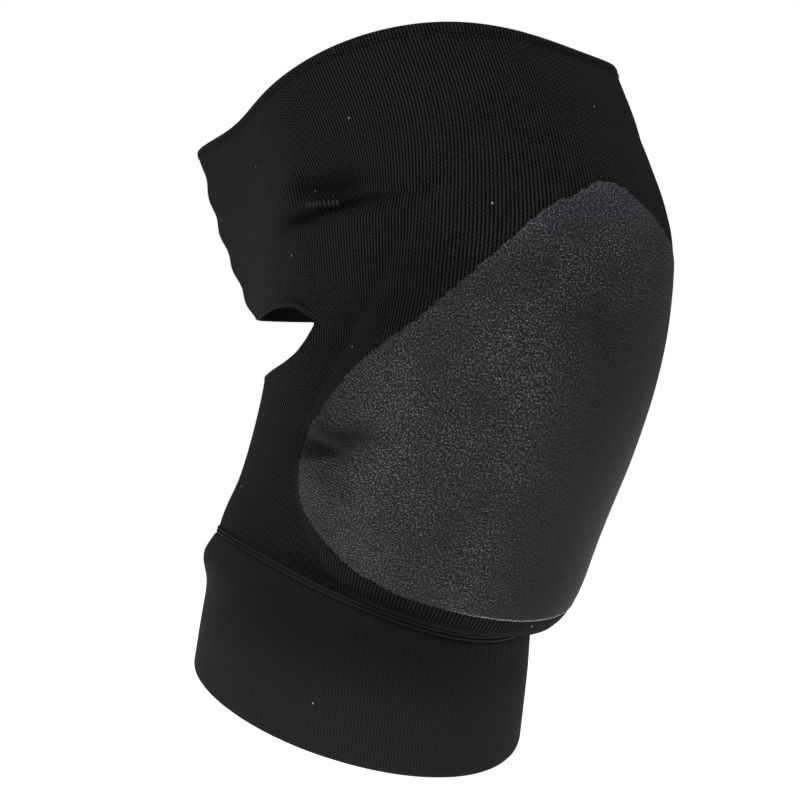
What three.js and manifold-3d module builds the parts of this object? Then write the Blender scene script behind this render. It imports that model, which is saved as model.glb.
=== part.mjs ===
// A knitted volleyball knee pad, held in the form that it has on a bent leg.
// Millimetres, +Z up, -Y is the front of the knee, -X is the wearer's right.
// The origin is the middle of the knee inside the sleeve.
// Angles are in degrees round the leg: 0 at the kneecap, 180 at the back seam.
import * as THREE from 'three';
import Module from 'manifold-3d';

const wasm = await Module();
wasm.setup();

// Driving dimensions
const LEG_RADIUS = 62;
const BODY_HEIGHT = 172;
const CUFF_HEIGHT = 42;
const SEAM_REACH = 115;
const KNIT = 2;
const CUFF_WALL = 3;
const GAP = 0.3;
const PAD_THICKNESS = 14.5;
const PAD_HALF_ANGLE = 95;
const PAD_GAP = 1.1;
const COAT_RISE = 8.3;
const COAT_HEIGHT = 121;
const COAT_HALF_ANGLE = 91;
const COAT_GAP = 1.6 * GAP;
const HEM_HEIGHT = 3.5;
const HEM_PROUD = 0.5;
const SEAM_CORD = 2.4;
const SEAM_PROUD = 0.6;
const CUTOUT_HEIGHT = 28.5;
const CUTOUT_HALF_ANGLE = 85;
const CUTOUT_CORD = 2.4;
const CUFF_ROLL = 3.2;
const TACK_LENGTH = 11.5;
const TACK_WIDTH = 1.6;
const TACK_HEIGHT = 1.2;
const TACK_SEAT = 0.7;
const SEAM_WAVE = 16;
const SEAM_WAVE_DEPTH = 0.7;
const SEAM_TIP_ANGLE = 4;
const FLANK_EASE_ANGLE = 14;
const FLANK_MOST_ANGLE = 75;
const BULGE_ROUNDNESS = 0.7;
const RISE_FROM = 60;
const RISE_TO = 130;

const rad = THREE.MathUtils.degToRad;
const deg = THREE.MathUtils.radToDeg;

// A table is a list of rows with named columns.
function table(names, rows) {
  return rows.map((row) => Object.fromEntries(names.map((name, i) => [name, row[i]])));
}

// Smooth curve through one column of a table, by another column that rises.
function along(rows, by, column, at) {
  const last = rows.length - 1;
  const x = THREE.MathUtils.clamp(at, rows[0][by], rows[last][by]);
  let i = 0;
  while (i < last - 1 && x > rows[i + 1][by]) i += 1;
  const slope = (a, b) => (rows[b][column] - rows[a][column]) / (rows[b][by] - rows[a][by]);
  const tangent = (k) => slope(Math.max(k - 1, 0), Math.min(k + 1, last));
  const span = rows[i + 1][by] - rows[i][by];
  const t = (x - rows[i][by]) / span;
  const t2 = t * t;
  const t3 = t2 * t;
  return (2 * t3 - 3 * t2 + 1) * rows[i][column] + (t3 - 2 * t2 + t) * span * tangent(i)
    + (3 * t2 - 2 * t3) * rows[i + 1][column] + (t3 - t2) * span * tangent(i + 1);
}

// Sections of the sleeve from the calf to the thigh, one tilted ring a row.
// The height is in shares of the body and of the cuff, counted from the knee.
// Set-back, front, side, rear, raise, crown and rise are shares of the leg's
// radius: raise lifts the sides, rise lifts all that lies behind them.
// The seam is a share of the reach of the back seam, the pitch is in degrees.
const SECTIONS = table(
  ['body', 'cuff', 'back', 'pitch', 'front', 'side', 'rear', 'seam', 'raise', 'crown', 'rise'],
  [
    [-0.488, -1.07, 0.67, -16.5, 0.975, 1.0, 0.985, 0.30, 0.05, 0.00, 0.02],
    [-0.488, -0.55, 0.60, -14.0, 0.955, 0.975, 0.975, 0.30, 0.10, 0.00, 0.05],
    [-0.488, 0.00, 0.52, -13.5, 0.93, 0.935, 0.945, 0.30, 0.19, 0.00, 0.085],
    [-0.326, 0.00, 0.353, -11.0, 0.935, 0.935, 0.93, 0.35, 0.065, 0.00, 0.03],
    [-0.163, 0.00, 0.17, -7.0, 0.96, 0.96, 0.965, 0.49, 0.00, 0.00, 0.00],
    [-0.047, 0.00, 0.065, -3.0, 0.99, 0.99, 0.985, 0.56, 0.00, 0.00, 0.00],
    [0.070, 0.00, 0.024, 0.0, 1.04, 1.03, 1.00, 0.77, 0.00, 0.00, 0.00],
    [0.210, 0.00, 0.00, 2.0, 1.08, 1.065, 1.00, 0.897, 0.016, 0.016, 0.00],
    [0.360, 0.00, -0.010, 3.0, 1.06, 1.08, 1.016, 1.00, 0.032, 0.055, 0.00],
    [0.512, 0.00, 0.097, 3.0, 0.985, 1.065, 1.05, 1.017, 0.048, 0.115, 0.00],
  ],
);
for (const row of SECTIONS) {
  row.height = row.body * BODY_HEIGHT + row.cuff * CUFF_HEIGHT;
}
const BODY_BOTTOM = SECTIONS[2].body * BODY_HEIGHT;
const BODY_TOP = BODY_BOTTOM + BODY_HEIGHT - HEM_HEIGHT - GAP;
const CUFF_TOP = BODY_BOTTOM - SEAM_CORD - 2 * GAP;
const CUFF_BOTTOM = CUFF_TOP - CUFF_HEIGHT;

// Bulge of the pad: half width as a share of its half angle, and thickness as
// a share of its thickness, by height in shares of the body.
const BULGE = table(['height', 'half', 'thick'], [
  [-0.488, 0.62, 0.00],
  [-0.477, 0.66, 0.62],
  [-0.459, 0.72, 0.86],
  [-0.430, 0.78, 0.96],
  [-0.395, 0.84, 1.00],
  [-0.337, 0.91, 0.98],
  [-0.262, 0.98, 0.98],
  [-0.174, 1.00, 1.00],
  [-0.058, 0.93, 1.00],
  [0.047, 0.82, 0.97],
  [0.140, 0.73, 0.88],
  [0.198, 0.67, 0.76],
  [0.256, 0.60, 0.53],
  [0.314, 0.52, 0.24],
  [0.372, 0.40, 0.00],
]);

// Outline of the coating: half width by height, in shares of its own sizes. It
// starts above the band of knit over the cuff, and its middle leans to the
// wearer's right near the top by an angle in degrees.
const COAT = table(['height', 'half', 'middle'], [
  [0.000, 0.520, 0],
  [0.025, 0.660, 0],
  [0.080, 0.790, 0],
  [0.155, 0.910, 0],
  [0.255, 0.975, 0],
  [0.375, 0.990, 0],
  [0.540, 0.863, 2],
  [0.690, 0.610, 5],
  [0.820, 0.390, 9],
  [0.915, 0.220, 13],
  [0.970, 0.105, 13],
  [1.000, 0.035, 13],
]);
const COAT_BOTTOM = BODY_BOTTOM + COAT_RISE;

// Cut-out behind the knee: the heights of its edges in shares of its own
// height, from the back seam at 0 to the tip at each side at 1.
const CUTOUT = table(['side', 'top', 'bottom'], [
  [0.00, 0.46, -0.54],
  [0.35, 0.46, -0.52],
  [0.54, 0.465, -0.475],
  [0.76, 0.48, -0.32],
  [0.88, 0.455, -0.165],
  [0.94, 0.37, -0.02],
  [0.98, 0.31, 0.11],
  [1.00, 0.25, 0.19],
]);

// Folds on each side of the leg: the middle's angle in degrees, its height in
// shares of the body, its turn in degrees, then length, width and depth in
// shares of the leg's radius. A depth above 0 stands out.
const FOLDS = table(['angle', 'height', 'turn', 'length', 'width', 'depth'], [
  [92, 0.300, 0, 0.46, 0.085, -0.026],
  [91, 0.258, 0, 0.24, 0.036, 0.022],
  [88, 0.228, 3, 0.90, 0.034, -0.032],
  [70, 0.258, 14, 0.34, 0.040, 0.012],
  [82, -0.193, -8, 0.24, 0.040, -0.036],
  [80, -0.160, -12, 0.44, 0.055, 0.022],
  [68, -0.232, -38, 0.30, 0.040, 0.018],
  [72, -0.262, -55, 0.26, 0.034, 0.014],
  [96, 0.078, 0, 0.50, 0.045, -0.022],
  [88, -0.002, 4, 0.32, 0.045, -0.019],
]);

// The gathered stitches: the thigh dart carries a tack, the pad's dart pinches
// the foam. Heights and sizes are shares of the body and the leg's radius.
const THIGH_DART = { angle: 91.5, height: 0.2465, slope: 0.1 };
const PAD_DART = { angle: 82, height: -0.19, width: 14, tall: 0.18, depth: 0.039 };

// The foam in shares of the body's height and of the pad's half angle.
const FOAM = { low: -0.46, high: 0.285, half: 0.82, corner: 0.4 };

// Distance from the middle of a ring to the sleeve, by the angle. Round in
// front, it runs back along straight flanks to the seam behind the leg.
function ringRadius(ring, angle) {
  const from = Math.abs(angle);
  const long = from < 90 ? ring.front : ring.rear;
  const round = 1 / Math.hypot(Math.cos(rad(from)) / long, Math.sin(rad(from)) / ring.side);
  const flank = deg(Math.acos(Math.min(1, ring.rear / ring.seam)));
  if (flank < 0.5) return round;
  const ease = (x) => (x + Math.hypot(x, FLANK_EASE_ANGLE)) / 2;
  const tip = Math.hypot(180 - from, SEAM_TIP_ANGLE);
  const turn = ease(flank + SEAM_TIP_ANGLE - tip) * flank / ease(flank);
  return round / Math.cos(rad(Math.min(turn, FLANK_MOST_ANGLE)));
}

function ringAt(height) {
  const ring = { height };
  for (const name of ['back', 'front', 'side', 'rear', 'raise', 'crown', 'rise']) {
    ring[name] = along(SECTIONS, 'height', name, height) * LEG_RADIUS;
  }
  ring.pitch = along(SECTIONS, 'height', 'pitch', height);
  const start = THREE.MathUtils.smoothstep(height, 0, SEAM_WAVE);
  const wave = start * SEAM_WAVE_DEPTH * Math.sin(2 * Math.PI * height / SEAM_WAVE);
  ring.seam = along(SECTIONS, 'height', 'seam', height) * SEAM_REACH + wave;
  return ring;
}

// The edge stands highest half-way to each side and lowest on the flanks.
function crownShape(from) {
  const wave = Math.sin(rad(2 * from));
  return from < 45 ? 0.6 + 0.4 * wave * wave : wave;
}

// Point of the leg's form, moved out along its ring by a distance.
function formPoint(angle, height, out = 0) {
  const ring = ringAt(height);
  const reach = ringRadius(ring, angle) + out;
  const side = Math.sin(rad(angle));
  const front = Math.cos(rad(angle)) * reach;
  const behind = THREE.MathUtils.smoothstep(Math.abs(angle), RISE_FROM, RISE_TO);
  const lift = ring.raise * side * side + ring.crown * crownShape(Math.abs(angle))
    + ring.rise * behind;
  return new THREE.Vector3(
    -reach * side,
    ring.back - front * Math.cos(rad(ring.pitch)),
    height + front * Math.sin(rad(ring.pitch)) + lift,
  );
}

function formNormal(angle, height) {
  const round = formPoint(angle - 1, height).sub(formPoint(angle + 1, height));
  const up = formPoint(angle, height + 1).sub(formPoint(angle, height - 1));
  return round.cross(up).normalize();
}

function padBulge(angle, height) {
  const at = height / BODY_HEIGHT;
  const half = along(BULGE, 'height', 'half', at) * PAD_HALF_ANGLE;
  const thick = along(BULGE, 'height', 'thick', at) * PAD_THICKNESS;
  const across = THREE.MathUtils.clamp(1 - (angle / half) ** 2, 0, 1);
  return Math.max(thick, 0) * across ** BULGE_ROUNDNESS;
}

function foldDepth(angle, height) {
  let sum = 0;
  for (const fold of FOLDS) {
    const a = rad(fold.angle - Math.abs(angle));
    const b = (height - fold.height * BODY_HEIGHT) / LEG_RADIUS;
    const run = a * Math.cos(rad(fold.turn)) + b * Math.sin(rad(fold.turn));
    const off = b * Math.cos(rad(fold.turn)) - a * Math.sin(rad(fold.turn));
    sum += fold.depth * Math.exp(-((off / fold.width) ** 2) - ((2 * run / fold.length) ** 4));
  }
  return sum * LEG_RADIUS;
}

// Point of the cloth: depth 0 is its outer face, more lies further in.
function clothPoint(angle, height, depth = 0) {
  const out = padBulge(angle, height) + foldDepth(angle, height);
  return formPoint(angle, height, out).addScaledVector(formNormal(angle, height), -depth);
}

// Steps between two ends, closer together where the density is high.
function gradedSteps(from, to, count, density) {
  const fine = 400;
  const sums = [0];
  for (let i = 0; i < fine; i += 1) {
    sums.push(sums[i] + density(from + (to - from) * (i + 0.5) / fine));
  }
  const steps = [];
  let at = 0;
  for (let k = 0; k <= count; k += 1) {
    const want = sums[fine] * k / count;
    while (at < fine - 1 && sums[at + 1] < want) at += 1;
    const part = (want - sums[at]) / (sums[at + 1] - sums[at]);
    steps.push(from + (to - from) * (at + THREE.MathUtils.clamp(part, 0, 1)) / fine);
  }
  return steps;
}

const bump = (x, middle, width) => Math.exp(-(((x - middle) / width) ** 2));

function geometryOf(points, triangles) {
  const geometry = new THREE.BufferGeometry();
  const places = points.flatMap((p) => [p.x, p.y, p.z]);
  geometry.setAttribute('position', new THREE.Float32BufferAttribute(places, 3));
  let volume = 0;
  for (const [a, b, c] of triangles) {
    volume += points[a].dot(points[b].clone().cross(points[c]));
  }
  const facing = volume > 0 ? triangles : triangles.map(([a, b, c]) => [a, c, b]);
  geometry.setIndex(facing.flat());
  return geometry;
}

// Closed ring: the point at each step round the leg and along its profile.
function ringSolid(around, profile, point) {
  const points = around.flatMap((angle) => profile.map((place) => point(angle, place)));
  const triangles = [];
  const n = profile.length;
  for (let i = 0; i < around.length; i += 1) {
    const next = (i + 1) % around.length;
    for (let k = 0; k < n; k += 1) {
      const up = (k + 1) % n;
      triangles.push([i * n + k, next * n + k, next * n + up], [i * n + k, next * n + up, i * n + up]);
    }
  }
  return geometryOf(points, triangles);
}

// Closed sheet: a grid of columns and rows with an outer and an inner face.
function sheetSolid(columns, rows, outer, inner) {
  const points = [];
  for (const face of [outer, inner]) {
    for (let j = 0; j <= rows; j += 1) {
      for (let i = 0; i <= columns; i += 1) points.push(face(i / columns, j / rows));
    }
  }
  const at = (i, j, side) => (side * (rows + 1) + j) * (columns + 1) + i;
  const triangles = [];
  const quad = (a, b, c, d) => triangles.push([a, b, c], [a, c, d]);
  for (let j = 0; j < rows; j += 1) {
    for (let i = 0; i < columns; i += 1) {
      quad(at(i, j, 0), at(i + 1, j, 0), at(i + 1, j + 1, 0), at(i, j + 1, 0));
      quad(at(i, j, 1), at(i, j + 1, 1), at(i + 1, j + 1, 1), at(i + 1, j, 1));
    }
  }
  for (let i = 0; i < columns; i += 1) {
    quad(at(i, 0, 0), at(i, 0, 1), at(i + 1, 0, 1), at(i + 1, 0, 0));
    quad(at(i, rows, 0), at(i + 1, rows, 0), at(i + 1, rows, 1), at(i, rows, 1));
  }
  for (let j = 0; j < rows; j += 1) {
    quad(at(0, j, 0), at(0, j + 1, 0), at(0, j + 1, 1), at(0, j, 1));
    quad(at(columns, j, 0), at(columns, j, 1), at(columns, j + 1, 1), at(columns, j + 1, 0));
  }
  return geometryOf(points, triangles);
}

function toManifold(geometry) {
  return new wasm.Manifold(new wasm.Mesh({
    numProp: 3,
    vertProperties: new Float32Array(geometry.attributes.position.array),
    triVerts: new Uint32Array(geometry.index.array),
  }));
}

function fromManifold(solid) {
  const mesh = solid.getMesh();
  const geometry = new THREE.BufferGeometry();
  geometry.setAttribute('position', new THREE.Float32BufferAttribute(mesh.vertProperties, 3));
  geometry.setIndex(Array.from(mesh.triVerts));
  return geometry;
}

// Where the sleeve's mesh is closer: round the leg by angle, and up the body
// by height and spread in shares of the body.
const HALF_COLUMNS = 22;
const BODY_ROWS = 25;
const CLOSE_COLUMNS = table(['angle', 'spread', 'gain'], [
  [THIGH_DART.angle, 26, 1.1],
  [180, 9, 1.2],
]);
const CLOSE_ROWS = table(['height', 'spread', 'gain'], [
  [SECTIONS[2].body, 0.0465, 1.2],
  [THIGH_DART.height, 0.0523, 0.9],
  [PAD_DART.height, 0.0581, 0.5],
]);
const closeness = (places, by, at) => {
  return places.reduce((sum, place) => sum + place.gain * bump(at, place[by], place.spread), 1);
};
const halfAround = gradedSteps(0, 180, HALF_COLUMNS, (a) => closeness(CLOSE_COLUMNS, 'angle', a));
const AROUND = [...halfAround, ...halfAround.slice(1, -1).reverse().map((a) => -a)];

// Outline of the coating on one side, moved out by a distance: angle and height.
function coatEdge(t, side, out) {
  const at = THREE.MathUtils.lerp(COAT[0].height, COAT[COAT.length - 1].height, t);
  const place = (share) => {
    const half = along(COAT, 'height', 'half', share) * COAT_HALF_ANGLE;
    const angle = along(COAT, 'height', 'middle', share) + side * half;
    return [rad(angle) * LEG_RADIUS, COAT_BOTTOM + share * COAT_HEIGHT];
  };
  const [x, y] = place(at);
  const step = 0.004;
  const [x0, y0] = place(at - step);
  const [x1, y1] = place(at + step);
  const length = Math.hypot(x1 - x0, y1 - y0);
  const ends = t === 0 ? [0, -1] : [0, 1];
  const across = [side * (y1 - y0) / length, -side * (x1 - x0) / length];
  const [nx, ny] = t === 0 || t === 1 ? ends : across;
  return { angle: deg((x + nx * out) / LEG_RADIUS), height: y + ny * out };
}

// Edge of the cut-out: s runs from one tip over the back seam to the other.
function cutoutEdge(s, name) {
  return {
    angle: 180 - s * CUTOUT_HALF_ANGLE,
    height: along(CUTOUT, 'side', name, Math.abs(s)) * CUTOUT_HEIGHT,
  };
}

const COAT_COLUMNS = 18;
const COAT_ROWS = 20;
function coatGrid(out, depth) {
  return (u, v) => {
    const left = coatEdge(v, -1, out);
    const right = coatEdge(v, 1, out);
    const angle = THREE.MathUtils.lerp(left.angle, right.angle, u);
    return clothPoint(angle, THREE.MathUtils.lerp(left.height, right.height, u), depth);
  };
}

const CUTOUT_COLUMNS = 30;
const CUTOUT_STEPS = 52;
const CUTOUT_CUT = 14;
function cutoutGrid(reach) {
  return (u, v) => {
    const low = cutoutEdge(2 * u - 1, 'bottom');
    const high = cutoutEdge(2 * u - 1, 'top');
    return formPoint(low.angle, THREE.MathUtils.lerp(low.height, high.height, v), reach);
  };
}

function makeSleeve() {
  const closer = (h) => closeness(CLOSE_ROWS, 'height', h / BODY_HEIGHT);
  const rows = gradedSteps(BODY_BOTTOM, BODY_TOP, BODY_ROWS, closer);
  const profile = [...rows.map((h) => [h, 0]), ...rows.toReversed().map((h) => [h, KNIT])];
  const place = (angle, [h, depth]) => clothPoint(angle, h, depth);
  const tube = toManifold(ringSolid(AROUND, profile, place));
  const cut = 3 * KNIT;
  const outside = coatGrid(COAT_GAP, -cut);
  const window = sheetSolid(COAT_COLUMNS, COAT_ROWS, outside, coatGrid(COAT_GAP, KNIT + cut));
  const hole = sheetSolid(CUTOUT_COLUMNS, 4, cutoutGrid(CUTOUT_CUT), cutoutGrid(-CUTOUT_CUT));
  const hem = makeCutoutCord(CUTOUT_CORD / 2 + GAP);
  const cuts = [window, hole, hem].map(toManifold);
  const pieces = cuts.reduce((left, cutter) => left.subtract(cutter), tube).decompose();
  return fromManifold(pieces.sort((a, b) => b.volume() - a.volume())[0]);
}

function makeCoatedPanel() {
  return sheetSolid(COAT_COLUMNS, COAT_ROWS, coatGrid(0, 0), coatGrid(0, KNIT));
}

// The foam fills the bulge from the sleeve's inner face to the cloth over it.
function makeFoam() {
  const place = (u, v) => {
    const share = THREE.MathUtils.lerp(FOAM.low, FOAM.high, v);
    const end = 1 - FOAM.corner * Math.abs(2 * v - 1) ** 8;
    const half = along(BULGE, 'height', 'half', share) * PAD_HALF_ANGLE * FOAM.half * end;
    return [(2 * u - 1) * half, share * BODY_HEIGHT];
  };
  const face = (u, v, out, depth) => {
    const [angle, height] = place(u, v);
    return formPoint(angle, height, out * padBulge(angle, height))
      .addScaledVector(formNormal(angle, height), -depth(angle, height));
  };
  const dart = (angle, height) => PAD_DART.depth * LEG_RADIUS
    * bump(Math.abs(angle), PAD_DART.angle, PAD_DART.width)
    * bump(height, PAD_DART.height * BODY_HEIGHT, PAD_DART.tall * LEG_RADIUS);
  const outer = (u, v) => face(u, v, 1, (angle, height) => KNIT + PAD_GAP + dart(angle, height));
  const inner = (u, v) => face(u, v, 0, () => KNIT);
  return sheetSolid(16, 16, outer, inner);
}

function makeThighHem() {
  const low = BODY_TOP + GAP;
  const high = low + HEM_HEIGHT;
  const round = HEM_HEIGHT / 6;
  const inside = KNIT + HEM_PROUD;
  const profile = [
    [low, 0], [low + round, -HEM_PROUD], [high - round, -HEM_PROUD],
    [high, KNIT / 2], [high - round, inside], [low + round, inside], [low, KNIT],
  ];
  return ringSolid(AROUND, profile, (angle, [h, depth]) => {
    return formPoint(angle, h).addScaledVector(formNormal(angle, h), -depth);
  });
}

function roundProfile(count, radius) {
  return Array.from({ length: count }, (_, k) => {
    const turn = 2 * Math.PI * k / count;
    return [radius * Math.sin(turn), -radius * Math.cos(turn)];
  });
}

function makeCuffSeam() {
  const radius = SEAM_CORD / 2;
  const middle = BODY_BOTTOM - GAP - radius;
  return ringSolid(AROUND, roundProfile(6, radius), (angle, [rise, depth]) => {
    const h = middle + rise;
    return formPoint(angle, h).addScaledVector(formNormal(angle, h), -(depth + radius - SEAM_PROUD));
  });
}

// The cuff's upper edge rolls out behind the calf: the angles between which it
// grows, and its middle below the edge and its spread in shares of the cuff.
const ROLL = { from: 85, to: 130, below: 0.16, spread: 0.125 };
function cuffRoll(angle, height) {
  const behind = THREE.MathUtils.smoothstep(Math.abs(angle), ROLL.from, ROLL.to);
  const middle = CUFF_TOP - ROLL.below * CUFF_HEIGHT;
  return CUFF_ROLL * behind * bump(height, middle, ROLL.spread * CUFF_HEIGHT);
}

const CUFF_ROWS = 6;
function makeCuff() {
  const edge = CUFF_WALL / 2;
  const closer = (h) => 1 + bump(h, CUFF_TOP, CUFF_HEIGHT / 4);
  const rows = gradedSteps(CUFF_BOTTOM + edge, CUFF_TOP - edge, CUFF_ROWS, closer);
  const profile = [
    ...rows.map((h) => [h, 0]), [CUFF_TOP, edge],
    ...rows.toReversed().map((h) => [h, CUFF_WALL]), [CUFF_BOTTOM, edge],
  ];
  return ringSolid(AROUND, profile, (angle, [h, depth]) => {
    return formPoint(angle, h, cuffRoll(angle, h)).addScaledVector(formNormal(angle, h), -depth);
  });
}

// The rolled hem is a tube along the edge of the cut-out.
function makeCutoutCord(radius) {
  const edge = (s, name) => {
    const { angle, height } = cutoutEdge(s, name);
    return formPoint(angle, height).addScaledVector(formNormal(angle, height), -KNIT / 2);
  };
  const stops = CUTOUT.map((row) => row.side);
  const across = [...stops.slice(1).reverse().map((s) => -s), ...stops];
  const back = across.toReversed();
  const loop = [...across.map((s) => edge(s, 'top')), ...back.map((s) => edge(s, 'bottom'))];
  const path = new THREE.CatmullRomCurve3(loop, true, 'centripetal');
  const around = Array.from({ length: CUTOUT_STEPS }, (_, i) => i / CUTOUT_STEPS);
  return ringSolid(around, roundProfile(6, radius), (t, [rise, depth]) => {
    const at = path.getPointAt(t);
    const tangent = path.getTangentAt(t);
    const out = new THREE.Vector3(at.x, at.y, 0).normalize();
    const wide = tangent.clone().cross(out).normalize();
    const thick = wide.clone().cross(tangent);
    return at.addScaledVector(wide, rise).addScaledVector(thick, depth);
  });
}

function makeTack(side) {
  const place = (u, v) => {
    const run = (u - 0.5) * TACK_LENGTH;
    const angle = side * (THIGH_DART.angle - deg(run / LEG_RADIUS));
    return [angle, THIGH_DART.height * BODY_HEIGHT - THIGH_DART.slope * run + (v - 0.5) * TACK_WIDTH];
  };
  const outer = (u, v) => clothPoint(...place(u, v), -TACK_SEAT - TACK_HEIGHT);
  const inner = (u, v) => clothPoint(...place(u, v), -TACK_SEAT);
  return sheetSolid(5, 1, outer, inner);
}

const part = new THREE.Group();

function add(name, geometry, color, roughness) {
  geometry.computeVertexNormals();
  const material = new THREE.MeshStandardMaterial({ color, roughness, metalness: 0 });
  const mesh = new THREE.Mesh(geometry, material);
  mesh.name = name;
  part.add(mesh);
}

add('knit_sleeve', makeSleeve(), '#1b1c20', 0.92);
add('coated_panel', makeCoatedPanel(), '#2b2d33', 0.55);
add('foam_pad', makeFoam(), '#3c3d40', 0.95);
add('thigh_hem', makeThighHem(), '#16171a', 0.92);
add('cutout_hem', makeCutoutCord(CUTOUT_CORD / 2), '#121315', 0.92);
add('cuff_seam', makeCuffSeam(), '#0f1012', 0.9);
add('calf_cuff', makeCuff(), '#1d1e21', 0.92);
add('right_thigh_tack', makeTack(1), '#101114', 0.85);
add('left_thigh_tack', makeTack(-1), '#101114', 0.85);

export default part;
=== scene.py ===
# A knitted volleyball knee pad, standing in the form that it has on a bent leg.
# Lengths are millimetres until a mesh is made, +Z is up and -Y is the front of the knee.
# Angles go round the leg in degrees: 0 at the kneecap, 180 at the seam behind it.
import math

import bmesh
import bpy
import numpy as np
from mathutils import Matrix, Vector


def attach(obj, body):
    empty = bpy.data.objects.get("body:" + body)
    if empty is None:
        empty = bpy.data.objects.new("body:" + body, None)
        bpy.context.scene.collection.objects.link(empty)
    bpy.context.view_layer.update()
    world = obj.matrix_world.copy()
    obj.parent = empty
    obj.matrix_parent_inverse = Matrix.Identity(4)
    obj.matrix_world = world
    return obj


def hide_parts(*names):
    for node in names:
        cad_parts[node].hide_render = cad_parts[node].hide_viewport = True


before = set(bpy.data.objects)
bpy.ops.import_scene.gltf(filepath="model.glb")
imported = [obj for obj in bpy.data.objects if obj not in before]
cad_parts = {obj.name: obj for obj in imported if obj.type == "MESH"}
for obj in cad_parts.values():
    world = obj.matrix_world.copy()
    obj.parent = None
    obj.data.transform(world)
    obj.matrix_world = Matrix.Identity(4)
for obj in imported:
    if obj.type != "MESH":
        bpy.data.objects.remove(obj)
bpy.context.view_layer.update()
MM = 0.001

# The camera stands level with the knee, in front of its right side. It is aimed at
# the middle of the sleeve from half a metre, with a long lens.
CAMERA_AZIMUTH = -52
CAMERA_DISTANCE = 500
CAMERA_AIM = (-10.8, 13.8, -18.25)
CAMERA_LENS = 64.1

camera_turn = math.radians(CAMERA_AZIMUTH)
camera_sight = Vector((-math.sin(camera_turn), math.cos(camera_turn), 0))
camera = bpy.data.objects.new("camera", bpy.data.cameras.new("camera"))
camera.data.lens = CAMERA_LENS
camera.location = (Vector(CAMERA_AIM) - CAMERA_DISTANCE * camera_sight) * MM
camera.rotation_euler = (math.pi / 2, 0, camera_turn)
bpy.context.scene.collection.objects.link(camera)
bpy.context.scene.camera = camera

# Knit sleeve. One tube of black polyester and elastane rib knit, sewn up behind the
# leg. Its wales run down from the thigh, and a cut-out behind the knee is left open.
LEG_RADIUS = 62
BODY_HEIGHT = 172
CUFF_HEIGHT = 42
SEAM_REACH = 115
KNIT = 2
GAP = 0.3
PAD_THICKNESS = 14.5
PAD_HALF_ANGLE = 95
HEM_HEIGHT = 3.5

# Lesser shapes: the waves of the seam behind the leg and its round tip, the straight
# flanks, the roundness of the bulge, the rim's crown and rise, and the cut-out.
SEAM_WAVE = 16
SEAM_WAVE_DEPTH = 0.7
SEAM_TIP_ANGLE = 4
FLANK_EASE_ANGLE = 14
FLANK_MOST = 75
BULGE_POWER = 0.7
CROWN_FRONT = 0.6
RISE_FROM = 60
RISE_TO = 130
CUTOUT_HEIGHT = 28.5
CUTOUT_HALF_ANGLE = 85


# A table holds each named column as an array.
def table(names, rows):
    return dict(zip(names, np.array(rows, dtype=float).T))


# Smooth curve through one column of a table, by another column that rises.
def along(rows, by, column, at):
    x, y = rows[by], rows[column]
    last = len(x) - 1
    at = np.clip(at, x[0], x[last])
    i = np.clip(np.searchsorted(x, at) - 1, 0, last - 1)

    def tangent(k):
        low, high = np.maximum(k - 1, 0), np.minimum(k + 1, last)
        return (y[high] - y[low]) / (x[high] - x[low])

    span = x[i + 1] - x[i]
    t = (at - x[i]) / span
    start = (2 * t**3 - 3 * t**2 + 1) * y[i] + (t**3 - 2 * t**2 + t) * span * tangent(i)
    return start + (3 * t**2 - 2 * t**3) * y[i + 1] + (t**3 - t**2) * span * tangent(i + 1)


# Sections of the sleeve from the calf to the thigh, one tilted ring a row. Heights are
# shares of the body and the cuff, the seam is a share of its reach, the pitch is in
# degrees and the rest are shares of the leg's radius.
SECTIONS = table(
    ["body", "cuff", "back", "pitch", "front", "side", "rear", "seam", "raise", "crown", "rise"],
    [
        [-0.488, -1.07, 0.67, -16.5, 0.975, 1.0, 0.985, 0.30, 0.05, 0.00, 0.02],
        [-0.488, -0.55, 0.60, -14.0, 0.955, 0.975, 0.975, 0.30, 0.10, 0.00, 0.05],
        [-0.488, 0.00, 0.52, -13.5, 0.93, 0.935, 0.945, 0.30, 0.19, 0.00, 0.085],
        [-0.326, 0.00, 0.353, -11.0, 0.935, 0.935, 0.93, 0.35, 0.065, 0.00, 0.03],
        [-0.163, 0.00, 0.17, -7.0, 0.96, 0.96, 0.965, 0.49, 0.00, 0.00, 0.00],
        [-0.047, 0.00, 0.065, -3.0, 0.99, 0.99, 0.985, 0.56, 0.00, 0.00, 0.00],
        [0.070, 0.00, 0.024, 0.0, 1.04, 1.03, 1.00, 0.77, 0.00, 0.00, 0.00],
        [0.210, 0.00, 0.00, 2.0, 1.08, 1.065, 1.00, 0.897, 0.016, 0.016, 0.00],
        [0.360, 0.00, -0.010, 3.0, 1.06, 1.08, 1.016, 1.00, 0.032, 0.055, 0.00],
        [0.512, 0.00, 0.097, 3.0, 0.985, 1.065, 1.05, 1.017, 0.048, 0.115, 0.00],
    ],
)
SECTIONS["height"] = SECTIONS["body"] * BODY_HEIGHT + SECTIONS["cuff"] * CUFF_HEIGHT
BODY_BOTTOM = SECTIONS["body"][0] * BODY_HEIGHT
BODY_TOP = BODY_BOTTOM + BODY_HEIGHT - HEM_HEIGHT - GAP

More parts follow.
